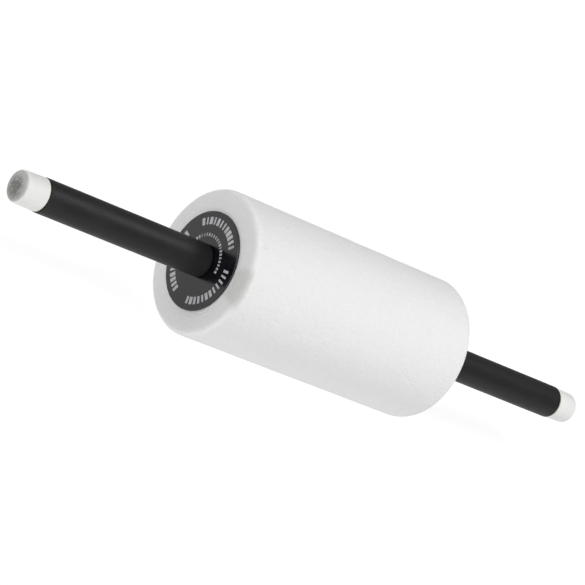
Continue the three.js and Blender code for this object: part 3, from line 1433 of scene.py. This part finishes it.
@dataclass
class Bar:
    """The bar's grips and end caps.

    Attributes:
        grip_shape: the grips' rounding, mesh and unevenness.
        seed: what draws their unevenness, together with the sign of the end.
        tube_fit_radius: the radius of the bores that the tube goes into.
        cap_wall: how thick a cap's face is.
        cap_mouth_radius: a cap's radius at its mouth.
        cap_face_radius: its radius at its face.
        cap_rim_round: the rounding of its rim.
        cap_lip_round: the rounding of its mouth.
        cap_chamfer: the chamfer inside it.
        cap_dome: how far its face bulges.
        cap_steps: how many steps go round it.
        crisp: the angle, in degrees, past which its edges stay crisp.
    """

    grip_shape: FoamShape = FoamShape(
        outer_round=1.5 * MM,
        inner_round=0.3 * MM,
        around=110,
        step=1.2 * MM,
        wave_height=0.12 * MM,
        wave_size=26 * MM,
        pebble_height=0.05 * MM,
        pebble_size=3 * MM,
    )
    seed: float = 7.0
    tube_fit_radius: float = 14.3 * MM
    cap_wall: float = 2.4 * MM
    cap_mouth_radius: float = 16.8 * MM
    cap_face_radius: float = 16.2 * MM
    cap_rim_round: float = 3.2 * MM
    cap_lip_round: float = 0.6 * MM
    cap_chamfer: float = 1 * MM
    cap_dome: float = 0.9 * MM
    cap_steps: int = 128
    crisp: float = 50.0

    def build(self, rings: TurnedRing) -> None:
        """Makes and dresses the grips and the caps.

        Args:
            rings: the tree that grows the grips.
        """
        grip, cap = Span.of("grip_sleeve_right"), Span.of("end_cap_right")
        rubber = GripFinish(grip.end).material(grip.axis_height)
        milky = CapFinish(cap.end, self.cap_dome, self.cap_rim_round, self.cap_face_radius, cap.start)
        plastic = milky.material(cap.axis_height)
        for end in End:
            self.build_grip(end, rings, rubber)
            self.build_cap(end, plastic)

    def build_grip(self, end: End, rings: TurnedRing, rubber: bpy.types.Material) -> None:
        """Makes one foam grip sleeve.

        Args:
            end: the end of the bar that it is at.
            rings: the tree that grows it.
            rubber: its material.
        """
        node = f"grip_sleeve_{end.label}"
        name = f"grip_skin_{end.label}"
        seed = self.seed + end.value
        piece = rings.foam(name, Span.of(node), self.tube_fit_radius, self.grip_shape, seed, rubber)
        settle(piece, Body.BAR, Slot.GRIP, node)

    def build_cap(self, end: End, plastic: bpy.types.Material) -> None:
        """Makes one push-on cap: a cup with a rounded rim that flares slightly to its mouth.

        Args:
            end: the end of the bar that it is at.
            plastic: its material.
        """
        node = f"end_cap_{end.label}"
        span = Span.of(node)
        mouth, face = sorted((abs(span.start), abs(span.end)))
        rim, lip, floor = self.cap_rim_round, self.cap_lip_round, face - self.cap_wall
        brow = self.cap_face_radius - rim
        dome_radius = (brow**2 + self.cap_dome**2) / (2 * self.cap_dome)
        lean = math.degrees(math.asin(brow / dome_radius))
        outline = [
            (floor, 0.0),
            (floor, self.tube_fit_radius - self.cap_chamfer),
            (floor - self.cap_chamfer, self.tube_fit_radius),
            (mouth, self.tube_fit_radius),
            *arc(mouth + lip, self.cap_mouth_radius - lip, lip, 180.0, 90.0, steps=4),
            *arc(face - self.cap_dome - rim, brow, rim, 90.0, lean, steps=12),
            *arc(face - dome_radius, 0.0, dome_radius, lean - 1.0, 0.0, steps=10)[:-1],
            (face, 0.0),
        ]
        name = f"cap_shell_{end.label}"
        piece = turned_mesh(name, outline, end, self.cap_steps, span.axis_height, self.crisp, plastic)
        settle(piece, Body.BAR, Slot.CAP, node)


@dataclass(frozen=True)
class Inside:
    """The pieces inside, which keep their CAD meshes and get finishes of their own.

    Attributes:
        pipe: the finish of the liner and the bar's tube.
        acetal: the finish of the bushes and the collars.
        steel: the finish of the washers and the pins.
    """

    pipe: PlainFinish = PlainFinish(
        "white_pipe",
        (0.74, 0.75, 0.73),
        0.4,
        Handling((0.55, 0.55, 0.5), 0.4, 15 * MM, 0.12),
        Grain(10 * MM, 0.6 * MM, 0.3, 0.05 * MM),
    )
    acetal: PlainFinish = PlainFinish(
        "black_acetal",
        (0.012, 0.012, 0.013),
        0.4,
        Handling((0.05, 0.05, 0.05), 0.4, 15 * MM, 0.12),
        Grain(10 * MM, 0.6 * MM, 0.3, 0.05 * MM),
    )
    steel: PlainFinish = PlainFinish(
        "dull_steel",
        (0.5, 0.51, 0.52),
        0.35,
        Handling((0.3, 0.29, 0.28), 0.4, 15 * MM, 0.12),
        Grain(10 * MM, 0.6 * MM, 0.5, 0.05 * MM),
        metallic=1.0,
    )

    def build(self, axis_height: float) -> None:
        """Dresses every piece inside.

        Args:
            axis_height: the height of the bar's axis.
        """
        self.dress(self.pipe, axis_height, "drum_liner", "bar_tube")
        for finish, stems in (
            (self.acetal, ("bush", "locating_collar")),
            (self.steel, ("thrust_washer", "collar_pin")),
        ):
            self.dress(finish, axis_height, *(f"{stem}_{end.label}" for stem in stems for end in End))

    def dress(self, finish: PlainFinish, axis_height: float, *nodes: str) -> None:
        """Gives CAD nodes that stay in place one finish.

        Args:
            finish: the finish.
            axis_height: the height of the bar's axis.
            *nodes: the nodes.
        """
        material = finish.material(axis_height)
        for node in nodes:
            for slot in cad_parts[node].material_slots:
                slot.material = material
            LOG.info("%s: CAD node dressed in %s", node, material.name)


# ---------------------------------------------------------------------------------- studio


@dataclass(frozen=True)
class Lamp:
    """A square soft lamp aimed at the middle of the object.

    Attributes:
        name: its name.
        place: where it stands.
        size: the length of its side.
        power: its power in watts.
    """

    name: str
    place: tuple[float, float, float]
    size: float
    power: float

    def build(self, target: Vector) -> None:
        """Makes the lamp.

        Args:
            target: where it aims.
        """
        data = bpy.data.lights.new(self.name, "AREA")
        data.shape = "SQUARE"
        data.size = self.size
        data.energy = self.power
        lamp = bpy.data.objects.new(self.name, data)
        lamp.location = self.place
        lamp.rotation_euler = (target - lamp.location).to_track_quat("-Z", "Y").to_euler()
        lamp.visible_camera = False
        bpy.context.scene.collection.objects.link(lamp)


@dataclass
class Studio:
    """A plain pale floor, soft white light and the camera.

    Attributes:
        axis_height: the height of the bar's axis.
        view_from_bar: the angle between the view and the bar, in degrees.
        view_round_bar: how far round the bar the camera stands above level, in degrees.
        bar_fall: how far the bar falls to the right in the frame, in degrees.
        distance: from the camera to its aim.
        lens: the focal length in millimetres.
        sensor: the width of the sensor in millimetres.
        aim_along: where the aim is along the bar.
        aim_above: how far the aim is above the bar's axis in the frame.
        white: the colour of the light.
        floor_size: the length of the floor's side.
        floor_colour: the floor's colour.
        floor_glow: how bright the floor's own light looks near the object.
        floor_near: how far out it begins to grow brighter.
        floor_far: where it is as white as the air.
        floor_light: how bright its light is to the object.
        air_light: how bright the air's light is to the object.
        lamps: the soft lamps.
    """

    axis_height: float
    view_from_bar: float = 48.79
    view_round_bar: float = 30.0
    bar_fall: float = 22.2
    distance: float = 3.07
    lens: float = 190.0
    sensor: float = 36.0
    aim_along: float = -33.5 * MM
    aim_above: float = 4.5 * MM
    white: Colour = (1.0, 1.0, 1.0)
    floor_size: float = 40.0
    floor_colour: Colour = (0.16, 0.16, 0.16)
    floor_glow: float = 0.92
    floor_near: float = 0.5
    floor_far: float = 1.6
    floor_light: float = 0.67
    air_light: float = 0.22
    lamps: tuple[Lamp, ...] = (
        Lamp("front", (-0.6, -1.9, 0.4), 1.2, 12.5),
        Lamp("above", (-0.5, -0.5, 1.95), 1.2, 8.9),
        Lamp("left_end", (-2.0, 0.3, 0.45), 0.7, 8.8),
        Lamp("behind", (0.0, 2.0, 0.3), 1.2, 4.0),
        Lamp("grip_sheen", (0.62, -0.45, 1.5), 0.5, 10.0),
        Lamp("cap_glint", (-0.8, 2.0, 0.35), 0.2, 2.6),
    )

    def build(self) -> None:
        """Makes the floor, the light and the camera."""
        self.build_floor()
        self.build_world()
        for lamp in self.lamps:
            lamp.build(Vector((0.0, 0.0, self.axis_height)))
        self.build_camera()

    def build_camera(self) -> None:
        """Makes the camera."""
        tilt = math.radians(self.view_from_bar)
        turn = math.radians(self.view_round_bar)
        fall = math.radians(self.bar_fall)
        forward = Vector((math.cos(tilt), math.sin(tilt) * math.cos(turn), -math.sin(tilt) * math.sin(turn)))
        bar = Vector((1.0, 0.0, 0.0))
        along = (bar - forward * bar.dot(forward)).normalized()
        above = bar.cross(forward).normalized()
        right = along * math.cos(fall) + above * math.sin(fall)
        up = above * math.cos(fall) - along * math.sin(fall)
        aim = Vector((self.aim_along, 0.0, self.axis_height)) + above * self.aim_above
        camera = bpy.data.objects.new("camera", bpy.data.cameras.new("camera"))
        camera.data.lens = self.lens
        camera.data.sensor_width = self.sensor
        turned = Matrix((right, up, -forward)).transposed().to_4x4()
        camera.matrix_world = Matrix.Translation(aim - forward * self.distance) @ turned
        bpy.context.scene.collection.objects.link(camera)
        bpy.context.scene.camera = camera

    def build_floor(self) -> None:
        """Makes the floor, a plain sheet that glows a little so that it stays pale."""
        half = self.floor_size / 2
        data = bpy.data.meshes.new("floor")
        corners = [(-half, -half, 0.0), (half, -half, 0.0), (half, half, 0.0), (-half, half, 0.0)]
        data.from_pydata(corners, [], [(0, 1, 2, 3)])
        floor = bpy.data.objects.new("floor", data)
        coat = Coat("floor", self.axis_height)
        graph = coat.graph
        seen = graph.add("ShaderNodeLightPath").outputs["Is Camera Ray"]
        coat.fix(Base_Color=rgba(self.floor_colour), Roughness=0.9, Specular_IOR_Level=0.0)
        coat.fix(Emission_Color=rgba(self.white))
        away = graph.add("ShaderNodeVectorMath", {0: coat.vector}, operation="LENGTH").outputs["Value"]
        glow = graph.ramp(away, self.floor_near, self.floor_far, self.floor_glow, 1.0)
        coat.drive(Emission_Strength=graph.share(seen, self.floor_light, glow))
        data.materials.append(coat.material)
        bpy.context.scene.collection.objects.link(floor)

    def build_world(self) -> None:
        """Makes the even white air light, seen as pure white."""
        world = bpy.data.worlds.new("studio")
        world.use_nodes = True
        world.node_tree.nodes.clear()
        graph = Graph(world.node_tree)
        seen = graph.add("ShaderNodeLightPath").outputs["Is Camera Ray"]
        strength = graph.share(seen, self.air_light, 1.0)
        sky = graph.take("ShaderNodeBackground", {"Color": rgba(self.white), "Strength": strength})
        graph.add("ShaderNodeOutputWorld", {"Surface": sky})
        bpy.context.scene.world = world
        bpy.context.scene.view_settings.view_transform = "Standard"


def main() -> None:
    """Builds the roller and the studio."""
    logging.basicConfig(level=logging.INFO, format="%(name)s: %(message)s")
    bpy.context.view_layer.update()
    rings, marks = TurnedRing(), RingMarks()
    drum = Drum()
    drum.build(rings, marks)
    Bar().build(rings)
    Inside().build(drum.foam.axis_height)
    Studio(drum.foam.axis_height).build()


if __name__ == "__main__":
    main()
